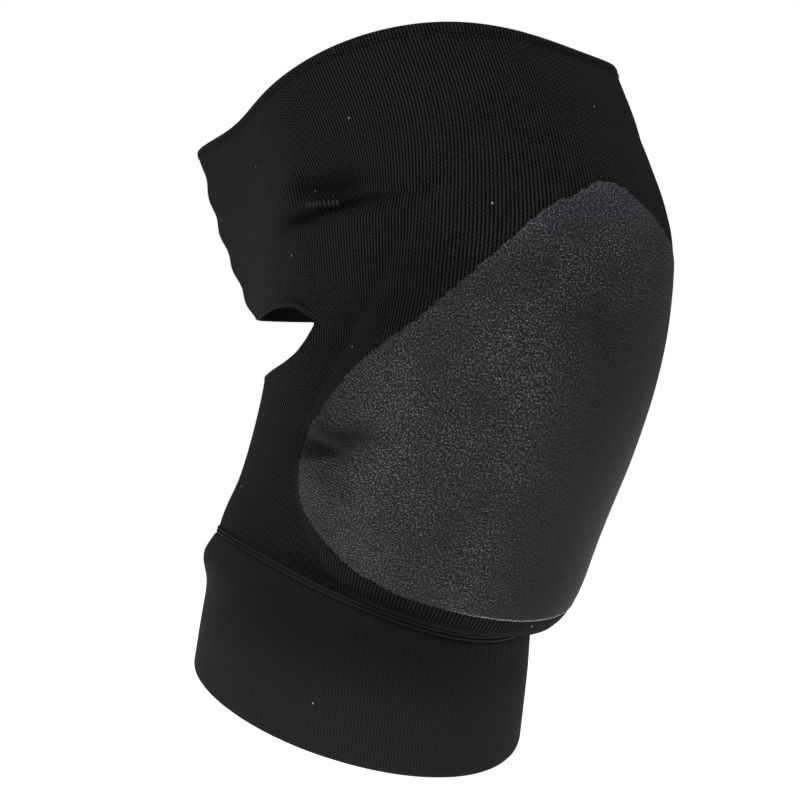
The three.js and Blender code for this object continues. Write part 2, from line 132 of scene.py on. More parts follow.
# Bulge over the pad: half width and thickness by height, in shares of its own sizes.
BULGE = table(
    ["height", "half", "thick"],
    [
        [-0.488, 0.62, 0.00],
        [-0.477, 0.66, 0.62],
        [-0.459, 0.72, 0.86],
        [-0.430, 0.78, 0.96],
        [-0.395, 0.84, 1.00],
        [-0.337, 0.91, 0.98],
        [-0.262, 0.98, 0.98],
        [-0.174, 1.00, 1.00],
        [-0.058, 0.93, 1.00],
        [0.047, 0.82, 0.97],
        [0.140, 0.73, 0.88],
        [0.198, 0.67, 0.76],
        [0.256, 0.60, 0.53],
        [0.314, 0.52, 0.24],
        [0.372, 0.40, 0.00],
    ],
)

# Cut-out behind the knee, from the seam at 0 to the tip at each side at 1.
CUTOUT = table(
    ["side", "top", "bottom"],
    [
        [0.00, 0.46, -0.54],
        [0.35, 0.46, -0.52],
        [0.54, 0.465, -0.475],
        [0.76, 0.48, -0.32],
        [0.88, 0.455, -0.165],
        [0.94, 0.37, -0.02],
        [0.98, 0.31, 0.11],
        [1.00, 0.25, 0.19],
    ],
)

# Folds on each side of the leg: the middle's angle, its height as a share of the body,
# its turn in degrees, then length, width and depth in shares of the leg's radius.
FOLD_COLUMNS = ["angle", "height", "turn", "length", "width", "depth"]
FOLDS = table(
    FOLD_COLUMNS,
    [
        [92, 0.300, 0, 0.46, 0.085, -0.026],
        [91, 0.258, 0, 0.24, 0.036, 0.022],
        [88, 0.228, 3, 0.90, 0.034, -0.032],
        [70, 0.258, 14, 0.34, 0.040, 0.012],
        [82, -0.193, -8, 0.24, 0.040, -0.036],
        [80, -0.160, -12, 0.44, 0.055, 0.022],
        [68, -0.232, -38, 0.30, 0.040, 0.018],
        [72, -0.262, -55, 0.26, 0.034, 0.014],
        [96, 0.078, 0, 0.50, 0.045, -0.022],
        [88, -0.002, 4, 0.32, 0.045, -0.019],
    ],
)


def bump(x, middle, width):
    return np.exp(-(((x - middle) / width) ** 2))


def smooth_step(x, low, high):
    t = np.clip((x - low) / (high - low), 0, 1)
    return t * t * (3 - 2 * t)


# Distance from the middle of a ring to the sleeve. Round in front, it runs back along
# straight flanks to the seam behind the leg.
def ring_radius(ring, angle):
    turned = np.abs(angle)
    reach = np.where(turned < 90, ring["front"], ring["rear"])
    cos, sin = np.cos(np.radians(turned)), np.sin(np.radians(turned))
    round_reach = 1 / np.hypot(cos / reach, sin / ring["side"])
    flank = np.degrees(np.arccos(np.minimum(1, ring["rear"] / ring["seam"])))
    flank = np.maximum(flank, 0.001)

    def ease(x):
        return (x + np.hypot(x, FLANK_EASE_ANGLE)) / 2

    tip = np.hypot(180 - turned, SEAM_TIP_ANGLE)
    turn = ease(flank + SEAM_TIP_ANGLE - tip) * flank / ease(flank)
    pointed = round_reach / np.cos(np.radians(np.minimum(turn, FLANK_MOST)))
    return np.where(flank < 0.5, round_reach, pointed)


def ring_at(height):
    names = ["back", "front", "side", "rear", "raise", "crown", "rise"]
    ring = {name: along(SECTIONS, "height", name, height) * LEG_RADIUS for name in names}
    ring["pitch"] = np.radians(along(SECTIONS, "height", "pitch", height))
    wave = smooth_step(height, 0, SEAM_WAVE) * np.sin(2 * np.pi * height / SEAM_WAVE)
    ring["seam"] = along(SECTIONS, "height", "seam", height) * SEAM_REACH + wave * SEAM_WAVE_DEPTH
    return ring


# The rim stands highest half-way to each side and lowest on the flanks.
def crown_shape(turned):
    wave = np.sin(np.radians(2 * turned))
    front = CROWN_FRONT + (1 - CROWN_FRONT) * wave * wave
    return np.where(turned < 45, front, wave)


# Point of the leg's form, moved out along its ring by a distance.
def form_point(angle, height, out=0.0):
    ring = ring_at(height)
    reach = ring_radius(ring, angle) + out
    side = np.sin(np.radians(angle))
    front = np.cos(np.radians(angle)) * reach
    lift = ring["raise"] * side * side + ring["crown"] * crown_shape(np.abs(angle))
    lift = lift + ring["rise"] * smooth_step(np.abs(angle), RISE_FROM, RISE_TO)
    return np.stack(
        [
            -reach * side,
            ring["back"] - front * np.cos(ring["pitch"]),
            height + front * np.sin(ring["pitch"]) + lift,
        ],
        axis=-1,
    )


def form_normal(angle, height):
    around = form_point(angle - 1, height) - form_point(angle + 1, height)
    up = form_point(angle, height + 1) - form_point(angle, height - 1)
    normal = np.cross(around, up)
    return normal / np.linalg.norm(normal, axis=-1, keepdims=True)


def pad_bulge(angle, height):
    share = height / BODY_HEIGHT
    half = along(BULGE, "height", "half", share) * PAD_HALF_ANGLE
    thick = np.maximum(along(BULGE, "height", "thick", share), 0) * PAD_THICKNESS
    return thick * np.clip(1 - (angle / half) ** 2, 0, 1) ** BULGE_POWER


# A place seen from a line at a turn in degrees: how far along it and how far off it.
def from_line(a, b, turn):
    cos, sin = np.cos(np.radians(turn)), np.sin(np.radians(turn))
    return a * cos + b * sin, b * cos - a * sin


def near_line(run, off, length, width):
    return np.exp(-((off / width) ** 2) - (2 * run / length) ** 4)


def fold_depth(folds, angle, height):
    total = np.zeros(np.broadcast(angle, height).shape)
    for middle, level, turn, length, width, depth in zip(*folds.values()):
        a = np.radians(middle - np.abs(angle))
        b = (height - level * BODY_HEIGHT) / LEG_RADIUS
        run, off = from_line(a, b, turn)
        total += depth * near_line(run, off, length, width)
    return total * LEG_RADIUS


# Fine gathers beside the darts: the middle of each patch, the turn of its ridges in
# degrees, then their length, the patch's width, the pitch and the depth in millimetres.
GATHERS = table(
    ["angle", "height", "turn", "length", "width", "pitch", "depth"],
    [
        [83, -33.0, 78, 7, 6.5, 1.9, 0.50],
        [76, -40.5, -33, 20, 6, 2.4, 0.32],
        [98, -38.0, 42, 16, 7, 2.3, 0.22],
        [91.5, 42.0, 84, 6, 6.5, 1.7, 0.35],
        [92, 49.0, 62, 16, 9, 2.6, 0.16],
    ],
)


def gather_depth(angle, height):
    total = np.zeros(np.broadcast(angle, height).shape)
    for middle, level, turn, length, width, pitch, depth in zip(*GATHERS.values()):
        a = np.radians(middle - np.abs(angle)) * LEG_RADIUS
        run, off = from_line(a, height - level, turn)
        total += depth * np.cos(2 * np.pi * off / pitch) * near_line(run, off, length, width)
    return total


# Painted shade, drawn into the colour: black where the cloth is tucked in on itself and
# no light gets in, darker where it lies in the shade under the bulge, and in two broad
# patches of shade on the print. The columns are those of the folds, but the last is
# how dark the painted shade is from 0 to 1.
PAINTED_SHADES = table(
    FOLD_COLUMNS,
    [
        [92, 0.278, -6, 0.50, 0.070, 0.75],
        [92, 0.2355, 4, 0.62, 0.020, 0.95],
        [104, 0.232, -6, 0.30, 0.045, 0.45],
        [80, -0.168, 10, 0.50, 0.062, 1.00],
        [83, -0.200, 16, 0.36, 0.034, 1.00],
        [92, -0.215, 20, 0.20, 0.060, 0.50],
        [78, -0.243, -30, 0.42, 0.085, 0.45],
        [47, -0.468, 0, 1.10, 0.016, 0.80],
        [60, -0.545, 0, 1.75, 0.260, 0.50],
        [75, 0.030, 45, 1.10, 0.220, 0.30],
        [40, -0.280, 76, 1.10, 0.170, 0.26],
    ],
)


# How strong the marks of a table are at a place, from 0 to 1.
def mark_at(marks, angle, height):
    return np.clip(fold_depth(marks, angle, height) / LEG_RADIUS, 0, 1)


# Point of the cloth: depth 0 is its outer face, more lies further in.
def cloth_point(angle, height, depth=0.0):
    out = pad_bulge(angle, height) + fold_depth(FOLDS, angle, height) + gather_depth(angle, height)
    depth = np.asarray(depth)[..., None]
    return form_point(angle, height, out) - depth * form_normal(angle, height)


# Length round the cloth from the line over the kneecap, which counts the wales. It is
# measured on a mesh of the leg's form, a degree by a millimetre, because the knit
# stretches over the pad. A place is kept just inside the mesh's last cell.
GIRTH_ANGLES = np.linspace(-180, 180, 361)
GIRTH_LEVELS = np.arange(-140, 101, 1.0)
LAST_CELL = 1.001


def measure_girth():
    angle, level = np.meshgrid(GIRTH_ANGLES, GIRTH_LEVELS)
    points = form_point(angle, level)
    run = np.cumsum(np.linalg.norm(np.diff(points, axis=1), axis=2), axis=1)
    run = np.concatenate([np.zeros((len(GIRTH_LEVELS), 1)), run], axis=1)
    front = len(GIRTH_ANGLES) // 2
    return run - run[:, front : front + 1]


GIRTH = measure_girth()


def girth_at(angle, height):
    x = np.clip(angle - GIRTH_ANGLES[0], 0, len(GIRTH_ANGLES) - LAST_CELL)
    y = np.clip(height - GIRTH_LEVELS[0], 0, len(GIRTH_LEVELS) - LAST_CELL)
    i, j = x.astype(int), y.astype(int)
    low = GIRTH[j, i] + (GIRTH[j, i + 1] - GIRTH[j, i]) * (x - i)
    high = GIRTH[j + 1, i] + (GIRTH[j + 1, i + 1] - GIRTH[j + 1, i]) * (x - i)
    return low + (high - low) * (y - j)


# The darts draw the wales towards them: each pull has its middle, how far it reaches
# up, down and to the sides in millimetres, and how far it moves the wales.
PULLS = table(
    ["angle", "height", "up", "down", "side", "move"],
    [
        [92, 42.4, 17, 1, 19, 9],
        [98, 14, 24, 400, 38, 11],
        [85, -34, 3, 30, 24, -5],
    ],
)


def pull_at(angle, height):
    total = 0
    for middle, level, up, down, side, move in zip(*PULLS.values()):
        rise = height - level
        fall = np.exp(-np.maximum(rise, 0) / up - np.maximum(-rise, 0) / down)
        near = bump(np.radians(np.abs(angle) - middle) * LEG_RADIUS, 0, side)
        total = total + move * fall * near
    return np.sign(angle) * total


# Place on the cloth in millimetres: across the wales, and along them.
def cloth_place(angle, height):
    return np.stack([girth_at(angle, height) + pull_at(angle, height), height], axis=-1)


# Turns even shares into places from low to high that crowd where the density is high.
GRADING_POINTS = 801


def graded(shares, low, high, density):
    fine = np.linspace(low, high, GRADING_POINTS)
    run = np.concatenate([[0], np.cumsum((density(fine[1:]) + density(fine[:-1])) / 2)])
    return np.interp(shares, run / run[-1], fine)


# A grid over the unit square whose points are set by a function of two shares. That
# function gives the points, their places on the cloth in millimetres and, where the
# material reads them, how dark the painted shade and how strong the fan of ridges are there.
def grid_mesh(columns, rows, place):
    mesh = bmesh.new()
    bmesh.ops.create_grid(mesh, x_segments=columns, y_segments=rows, size=0.5)
    shares = np.array([vert.co[:2] for vert in mesh.verts]) + 0.5
    points, cloth, *marks = place(shares[:, 0], shares[:, 1])
    for name, values in zip(("painted_shade", "fan"), marks):
        mark = mesh.verts.layers.float.new(name)
        for vert, value in zip(mesh.verts, values):
            vert[mark] = value
    layer = mesh.loops.layers.uv.new("cloth")
    for face in mesh.faces:
        for loop in face.loops:
            loop[layer].uv = cloth[loop.vert.index]
    for vert, point in zip(mesh.verts, points * MM):
        vert.co = point
    bmesh.ops.reverse_faces(mesh, faces=mesh.faces)
    return mesh


# Removes the faces of a grid that a table of its rows and columns marks.
def drop_faces(mesh, marks):
    marked = [face for face, mark in zip(mesh.faces, marks.ravel()) if mark]
    bmesh.ops.delete(mesh, geom=marked, context="FACES")


def middles(count):
    return (np.arange(count) + 0.5) / count


# Closes a grid where its edges meet behind the leg or along a tube.
JOIN_DISTANCE = 0.005


def join_edges(mesh):
    bmesh.ops.remove_doubles(mesh, verts=mesh.verts, dist=JOIN_DISTANCE * MM)


# Makes the object from a bmesh. A piece with a wall is only its outer face so far, and
# the wall grows inwards from it.
def add_piece(name, mesh, material, wall=0):
    for face in mesh.faces:
        face.smooth = True
    data = bpy.data.meshes.new(name)
    mesh.to_mesh(data)
    mesh.free()
    data.materials.append(material)
    piece = bpy.data.objects.new(name, data)
    bpy.context.scene.collection.objects.link(piece)
    if wall:
        solid = piece.modifiers.new("wall", "SOLIDIFY")
        solid.thickness = wall * MM
        solid.offset = -1
    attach(piece, "root")
    return piece


# sRGB hex to the linear colour that a shader takes.
def paint(code):
    shares = [int(code[i : i + 2], 16) / 255 for i in (1, 3, 5)]
    return [s / 12.92 if s < 0.04045 else ((s + 0.055) / 1.055) ** 2.4 for s in shares] + [1.0]


# Adds a node with its settings, and sets or links its inputs.
def add_node(tree, kind, inputs=None, **settings):
    made = tree.nodes.new(kind)
    for name, value in settings.items():
        setattr(made, name, value)
    for name, value in (inputs or {}).items():
        source = value.outputs[0] if isinstance(value, bpy.types.Node) else value
        if isinstance(source, bpy.types.NodeSocket):
            tree.links.new(source, made.inputs[name])
        else:
            made.inputs[name].default_value = source
    return made


def new_material(name):
    material = bpy.data.materials.new(name)
    material.use_nodes = True
    material.node_tree.nodes.clear()
    return material, material.node_tree


LOOP_DEPTH = 0.26


# Relief of a rib knit, from 0 in its grooves to 1 on its wales. Every other wale has
# its loops half a course higher, so that they lie like bricks.
def knit_relief(tree, cloth, wale, course):
    place = add_node(tree, "ShaderNodeSeparateXYZ", {0: cloth})
    wales = {0: place.outputs["X"], 1: 2 * math.pi / wale}
    turn = add_node(tree, "ShaderNodeMath", wales, operation="MULTIPLY")
    wave = add_node(tree, "ShaderNodeMath", {0: turn}, operation="COSINE")
    rib = add_node(tree, "ShaderNodeMath", {0: wave, 1: 0.5, 2: 0.5}, operation="MULTIPLY_ADD")
    half = add_node(tree, "ShaderNodeMath", {0: turn, 1: 0.5}, operation="MULTIPLY")
    swing = add_node(tree, "ShaderNodeMath", {0: half}, operation="COSINE")
    rows = {0: place.outputs["Y"], 1: 2 * math.pi / course}
    courses = add_node(tree, "ShaderNodeMath", rows, operation="MULTIPLY")
    bricks = {0: swing, 1: math.pi / 2, 2: courses}
    stagger = add_node(tree, "ShaderNodeMath", bricks, operation="MULTIPLY_ADD")
    loop_wave = add_node(tree, "ShaderNodeMath", {0: stagger}, operation="COSINE")
    loops = {0: loop_wave, 1: LOOP_DEPTH, 2: 1 - LOOP_DEPTH}
    loop = add_node(tree, "ShaderNodeMath", loops, operation="MULTIPLY_ADD")
    return add_node(tree, "ShaderNodeMath", {0: rib, 1: loop}, operation="MULTIPLY")


# A colour that goes black where painted shade is marked: in tucks, under the bulge and in shaded
# patches.
def in_painted_shade(tree, colour):
    painted_shade = add_node(tree, "ShaderNodeAttribute", attribute_name="painted_shade")
    black = {0: painted_shade.outputs["Fac"], 6: colour, 7: paint("#000000")}
    return add_node(tree, "ShaderNodeMix", black, data_type="RGBA").outputs[2]


LINT = "#8a8c90"
LINT_SPACING = 60
LINT_SIZE = 0.3
FUZZ_SCALE = 0.9
FUZZ_SHARE = 0.5
GROOVE_END = 0.36
WALE_TOP = 0.95


# Polyester and elastane rib knit: matt black yarn in raised wales whose loops break the
# light into small dots, with a faint sheen of loose fibres where it turns away and a
# speck of pale lint here and there. Colours run from the grooves to the wales' tops.
def knit_material(name, wale, course, dark, light, relief):
    material, tree = new_material(name)
    cloth = add_node(tree, "ShaderNodeUVMap", uv_map="cloth")
    height = knit_relief(tree, cloth, wale, course)
    fuzz = add_node(tree, "ShaderNodeTexNoise", {"Vector": cloth, "Scale": FUZZ_SCALE, "Detail": 3.0})
    fuzzed = {0: fuzz.outputs[0], 1: FUZZ_SHARE, 2: height}
    uneven = add_node(tree, "ShaderNodeMath", fuzzed, operation="MULTIPLY_ADD")
    colour = add_node(tree, "ShaderNodeValToRGB", {0: uneven})
    groove, top = colour.color_ramp.elements
    groove.position, top.position = GROOVE_END, WALE_TOP
    groove.color, top.color = paint(dark), paint(light)
    specks = {"Vector": cloth, "Scale": 1 / LINT_SPACING, "Randomness": 1.0}
    lint = add_node(tree, "ShaderNodeTexVoronoi", specks, voronoi_dimensions="2D")
    near = {0: lint.outputs["Distance"], 1: LINT_SIZE / LINT_SPACING}
    speck = add_node(tree, "ShaderNodeMath", near, operation="LESS_THAN")
    dust = {0: speck, 6: colour, 7: paint(LINT)}
    dusted = add_node(tree, "ShaderNodeMix", dust, data_type="RGBA")
    # Painted shade: the knit is drawn black where it is tucked in, and darker under the bulge.
    body = in_painted_shade(tree, dusted.outputs[2])
    bumped = add_node(tree, "ShaderNodeBump", {"Height": uneven, "Distance": relief * MM})
    yarn = {"Base Color": body, "Normal": bumped, "Roughness": 0.85, "IOR": 1.46}
    sheen = {"Specular IOR Level": 0.05, "Sheen Weight": 0.015, "Sheen Roughness": 0.4}
    shader = add_node(tree, "ShaderNodeBsdfPrincipled", yarn | sheen)
    add_node(tree, "ShaderNodeOutputMaterial", {"Surface": shader})
    return material


# Wales and courses in millimetres, then the yarn's colours from groove to top and the
# height of its relief in millimetres.
WALE = 1.15
COURSE = 1.15
YARN_DARK = "#000000"
YARN_LIGHT = "#232427"
YARN_RELIEF = 0.3

# The grid has its rows below the cut-out, in it and above it, and both columns and rows
# crowd at the darts: each has a place and a spread, in degrees or in shares of the rows.
SLEEVE_COLUMNS = 380
ROWS_BELOW = 66
ROWS_HOLE = 2
ROWS_ABOVE = 62
TIP_SPREAD = 3.0
TIP_FADE = 1.2
DART_ANGLE = 88
DART_SPREAD = 14
DART_CROWD = 0.8
LOWER_DART_ROW = 0.57
UPPER_DART_ROW = 0.45
DART_ROW_SPREAD = 0.16

# The tube runs on a little under the hem and into the seam, so that no light shows there.
UNDER_HEM = 1.5
INTO_SEAM = 0.5


# Height of an edge of the cut-out, and past its tips the line that carries it on.
def cutout_height(angle, name):
    side = (180 - np.abs(angle)) / CUTOUT_HALF_ANGLE
    edge = along(CUTOUT, "side", name, side) * CUTOUT_HEIGHT
    middle = (along(CUTOUT, "side", "top", side) + along(CUTOUT, "side", "bottom", side)) / 2
    spread = TIP_SPREAD / 2 if name == "top" else -TIP_SPREAD / 2
    past = smooth_step(side, 1, TIP_FADE)
    return edge * (1 - past) + (middle * CUTOUT_HEIGHT + spread) * past


def column_angle(share):
    return graded(share, -180, 180, lambda a: 1 + 2 * bump(np.abs(a), DART_ANGLE, DART_SPREAD))


def dart_rows(share, middle):
    return graded(share, 0, 1, lambda t: 1 + DART_CROWD * bump(t, middle, DART_ROW_SPREAD))


def sleeve_place(across, up):
    angle = column_angle(across)
    row = up * (ROWS_BELOW + ROWS_HOLE + ROWS_ABOVE)
    low, high = cutout_height(angle, "bottom"), cutout_height(angle, "top")
    to_low = dart_rows(np.clip(row / ROWS_BELOW, 0, 1), LOWER_DART_ROW)
    to_top = dart_rows(np.clip((row - ROWS_BELOW - ROWS_HOLE) / ROWS_ABOVE, 0, 1), UPPER_DART_ROW)
    edge = BODY_BOTTOM - INTO_SEAM
    below = edge + (low - edge) * to_low
    inside = low + (high - low) * (row - ROWS_BELOW) / ROWS_HOLE
    above = high + (BODY_TOP + UNDER_HEM - high) * to_top
    height = np.where(row <= ROWS_BELOW, below, np.where(row <= ROWS_BELOW + ROWS_HOLE, inside, above))
    # The last mark is how dark the painted shade is there.
    return cloth_point(angle, height), cloth_place(angle, height), mark_at(PAINTED_SHADES, angle, height)


rib_knit = knit_material("rib_knit", WALE, COURSE, YARN_DARK, YARN_LIGHT, YARN_RELIEF)
sleeve_mesh = grid_mesh(SLEEVE_COLUMNS, ROWS_BELOW + ROWS_HOLE + ROWS_ABOVE, sleeve_place)
behind_knee = np.abs(column_angle(middles(SLEEVE_COLUMNS))) > 180 - CUTOUT_HALF_ANGLE
rows = np.arange(ROWS_BELOW + ROWS_HOLE + ROWS_ABOVE)
hole_rows = (rows >= ROWS_BELOW) & (rows < ROWS_BELOW + ROWS_HOLE)
drop_faces(sleeve_mesh, hole_rows[:, None] & behind_knee)
join_edges(sleeve_mesh)
sleeve = add_piece("knit_tube", sleeve_mesh, rib_knit, wall=KNIT)
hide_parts("knit_sleeve")

# Thigh hem. The knit's top edge is turned in and lock-stitched all round, about 3 mm
# below the fold, with black thread.
HEM_PROUD = 0.5
HEM_COLUMNS = 360
HEM_ROWS = 4
EDGE_STEPS = 6
STITCHES = 159
STITCH_SIDES = 6
STITCH_SHARE = 0.8
STITCH_THICK = 0.45
STITCH_RISE = 0.2
STITCH_SINK = 0.15


# Closed outline of a wall with round edges, as heights and depths in rows.
def wall_outline(low, high, outer, inner, rows):
    edge = (inner - outer) / 2
    up = np.linspace(low + edge, high - edge, rows + 1)
    turn = np.linspace(0, math.pi, EDGE_STEPS + 1)[1:-1]
    middle = (inner + outer) / 2
    heights = [up, high - edge + edge * np.sin(turn), up[::-1], low + edge - edge * np.sin(turn), up[:1]]
    depths = [up * 0 + outer, middle - edge * np.cos(turn), up * 0 + inner, middle + edge * np.cos(turn)]
    return np.concatenate(heights), np.concatenate([*depths, [outer]])


# A wall round the leg with a closed outline, whose outer face a function moves out.
def ring_mesh(columns, outline, out=lambda angle, height: 0.0):
    heights, depths = outline
    last = len(heights) - 1

    def place(across, up):
        row = np.round(up * last).astype(int)
        angle = 360 * across - 180
        height, depth = heights[row], depths[row]
        moved = form_point(angle, height, out(angle, height))
        moved = moved - depth[:, None] * form_normal(angle, height)
        # The last mark is how dark the painted shade is there.
        return moved, cloth_place(angle, height), mark_at(PAINTED_SHADES, angle, height)

    mesh = grid_mesh(columns, last, place)
    join_edges(mesh)
    return mesh


# A stitch or a wrap of thread: a small spindle from one point to another.
def add_stitch(mesh, start, end, out, thick):
    run = Vector(end) - Vector(start)
    length = run.length
    run.normalize()
    side = run.cross(Vector(out)).normalized()
    turn = Matrix((run, side, run.cross(side))).transposed().to_4x4()
    size = Matrix.Diagonal((length / 2 * MM, thick / 2 * MM, thick / 2 * MM, 1))
    place = Matrix.Translation((Vector(start) + Vector(end)) / 2 * MM) @ turn @ size
    sides = {"u_segments": STITCH_SIDES, "v_segments": STITCH_SIDES}
    bmesh.ops.create_uvsphere(mesh, **sides, radius=1, matrix=place)


THREAD_DARK = "#050506"
THREAD_LIGHT = "#17181a"
THREAD_STRAND = 0.5
THREAD_RELIEF = 0.1


# Spun polyester sewing thread: fine twisted strands that catch a little more light than
# the knit does.
def thread_material(name, light):
    material, tree = new_material(name)
    place = add_node(tree, "ShaderNodeTexCoord")
    spun = {"Vector": place.outputs["Object"], "Scale": 1 / (THREAD_STRAND * MM)}
    strands = add_node(tree, "ShaderNodeTexNoise", spun)
    tint = add_node(tree, "ShaderNodeValToRGB", {0: strands.outputs[0]})
    tint.color_ramp.elements[0].color = paint(THREAD_DARK)
    tint.color_ramp.elements[1].color = paint(light)
    raised = {"Height": strands.outputs[0], "Distance": THREAD_RELIEF * MM}
    bumped = add_node(tree, "ShaderNodeBump", raised)
    thread = {"Base Color": tint, "Normal": bumped, "Roughness": 0.6, "Specular IOR Level": 0.1}
    shader = add_node(tree, "ShaderNodeBsdfPrincipled", thread)
    add_node(tree, "ShaderNodeOutputMaterial", {"Surface": shader})
    return material


black_thread = thread_material("black_polyester_thread", THREAD_LIGHT)
hem_low = BODY_TOP + GAP
hem_outline = wall_outline(hem_low, hem_low + HEM_HEIGHT, -HEM_PROUD, KNIT + HEM_PROUD, HEM_ROWS)
hem = add_piece("turned_hem", ring_mesh(HEM_COLUMNS, hem_outline), rib_knit)
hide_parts("thigh_hem")


# A row of stitches, evenly spaced round the cloth at one height.
def stitch_row(height):
    girth = GIRTH[int(height - GIRTH_LEVELS[0])]
    angles = np.interp(np.linspace(girth[0], girth[-1], STITCHES + 1), girth, GIRTH_ANGLES)
    outward = form_normal(angles, height)
    points = form_point(angles, height) + outward * (HEM_PROUD - STITCH_SINK)
    mesh = bmesh.new()
    for start, end, out in zip(points[:-1], points[1:], outward):
        middle, half = (start + end) / 2, (end - start) / 2 * STITCH_SHARE
        add_stitch(mesh, middle - half, middle + half, out, STITCH_THICK)
    return mesh


add_piece("hem_stitches", stitch_row(hem_low + STITCH_RISE), black_thread)

# Foam pad. A crescent of black EVA foam fills the bulge over the kneecap, thinner
# towards its rim, and shows only from inside the sleeve. A hollow on each side leaves
# room for the dart.
FOAM_LOW = -0.46
FOAM_HIGH = 0.285
FOAM_HALF = 0.82
FOAM_CORNER = 0.4
FOAM_CORNER_POWER = 8
FOAM_RIM = 6
FOAM_COLUMNS = 120
FOAM_ROWS = 80
PAD_GAP = 1.1
PAD_DART = {"angle": 82, "height": -0.19, "width": 14, "tall": 0.18, "depth": 0.039}
FOAM_CELLS_PER_MM = 0.9
FOAM_SKIN = "#2e2f32"
FOAM_PORE = "#1b1c1e"
FOAM_RELIEF = -0.2


# Closed-cell EVA foam: matt and dark grey, with pores that show as faint pits.
def foam_material():
    material, tree = new_material("eva_foam")
    place = add_node(tree, "ShaderNodeTexCoord")
    pores = {"Vector": place.outputs["Object"], "Scale": FOAM_CELLS_PER_MM / MM}
    cells = add_node(tree, "ShaderNodeTexVoronoi", pores)
    tint = add_node(tree, "ShaderNodeValToRGB", {0: cells.outputs["Distance"]})
    tint.color_ramp.elements[0].color = paint(FOAM_SKIN)
    tint.color_ramp.elements[1].color = paint(FOAM_PORE)
    pits = {"Height": cells.outputs["Distance"], "Distance": FOAM_RELIEF * MM}
    bumped = add_node(tree, "ShaderNodeBump", pits)
    foam = {"Base Color": tint, "Normal": bumped, "Roughness": 0.9, "IOR": 1.45}
    shader = add_node(tree, "ShaderNodeBsdfPrincipled", foam)
    add_node(tree, "ShaderNodeOutputMaterial", {"Surface": shader})
    return material


# Hollow for the dart: its angles are degrees, its height is a share of the body's, and
# the rest are shares of the leg's radius.
def dart_hollow(angle, height):
    near = bump(np.abs(angle), PAD_DART["angle"], PAD_DART["width"])
    level = bump(height, PAD_DART["height"] * BODY_HEIGHT, PAD_DART["tall"] * LEG_RADIUS)
    return PAD_DART["depth"] * LEG_RADIUS * near * level


# A face of the foam: out is 1 for the one under the knit, and 0 for the one on the leg.
# Its corners are cut back, and its rim is rounded over the outer sixth.
def foam_face(out):
    def place(across, up):
        share = FOAM_LOW + (FOAM_HIGH - FOAM_LOW) * up
        end = 1 - FOAM_CORNER * np.abs(2 * up - 1) ** FOAM_CORNER_POWER
        half = along(BULGE, "height", "half", share) * PAD_HALF_ANGLE * FOAM_HALF * end
        angle, height = (2 * across - 1) * half, share * BODY_HEIGHT
        inwards = np.minimum(np.minimum(across, 1 - across), np.minimum(up, 1 - up))
        edge = np.minimum(1, FOAM_RIM * inwards)
        crown = (1 - np.sqrt(np.clip(1 - (1 - edge) ** 2, 0, 1))) * 2
        depth = KNIT + out * (PAD_GAP + dart_hollow(angle, height) + crown)
        points = form_point(angle, height, out * pad_bulge(angle, height))
        points = points - depth[:, None] * form_normal(angle, height)
        return points, np.stack([np.radians(angle) * LEG_RADIUS, height], axis=-1)

    return grid_mesh(FOAM_COLUMNS, FOAM_ROWS, place)


# Both faces in one mesh, joined round their rims.
def foam_mesh():
    outer, inner = foam_face(1), foam_face(0)
    bmesh.ops.reverse_faces(inner, faces=inner.faces)
    half_made = bpy.data.meshes.new("foam_inner")
    inner.to_mesh(half_made)
    inner.free()
    outer.from_mesh(half_made)
    bpy.data.meshes.remove(half_made)
    rims = [edge for edge in outer.edges if edge.is_boundary]
    bmesh.ops.bridge_loops(outer, edges=rims)
    return outer


foam = add_piece("foam_crescent", foam_mesh(), foam_material())
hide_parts("foam_pad")

# Coating. A rubbery polyurethane print, pressed hot onto the knit over the pad. It ends
# in small teeth along the wales, and fine ridges fan out where the dart gathers it.
COAT_RISE = 8.3
COAT_HEIGHT = 121
COAT_HALF_ANGLE = 91
COAT_PROUD = 0.4
COAT_WALL = 0.6
COAT_COLUMNS = 300
COAT_ROWS = 160
COAT_TEETH = 0.35

# Its finish: the grain, patches and ripples by their sizes, the low and high ends of the
# relief that the colours run between, and the colours: pits black as painted shade, the
# skin, pebble tops lighter as a painted highlight, and the pale painted highlight on the lower edge.
COAT_GRAIN = 0.52
COAT_PATCHES = 26
COAT_RIPPLE = 0.9
COAT_RIPPLE_LENGTH = 5
COAT_RIPPLE_TURN = 0.12
COAT_RIPPLE_PLACE = 38
COAT_PIT_DEPTH = -0.068
COAT_PEBBLE = 0.12
COAT_RELIEF = 0.6
COAT_PIT_SHADE = "#000000"
COAT_SKIN = "#232427"
COAT_SKIN_PLACE = 0.55
COAT_PEBBLE_HIGHLIGHT = "#5a5b60"
COAT_EDGE_HIGHLIGHT = "#8a8c90"

# Where the finish and the painted light change, from one place on the cloth to another in
# millimetres: three outwards from the line over the kneecap, two upwards, and one up from the lower
# edge.
GRAINY_ASIDE = (8.0, 32.0)
HIGHLIGHT_RIM = (62.0, 90.0)
HIGHLIGHT_FRONT = (24.0, 36.0)
GRAINY_ABOVE = (-8.0, 14.0)
HIGHLIGHT_ABOVE = (20.0, 48.0)
HIGHLIGHT_LIP = (0.2, 0.9)

# The ridges under the pad's dart: their turn in degrees, pitch, sway and height.
FAN_TURN = -10
FAN_PITCH = 0.95
FAN_SWAY = 2.0
FAN_DEPTH = 0.08

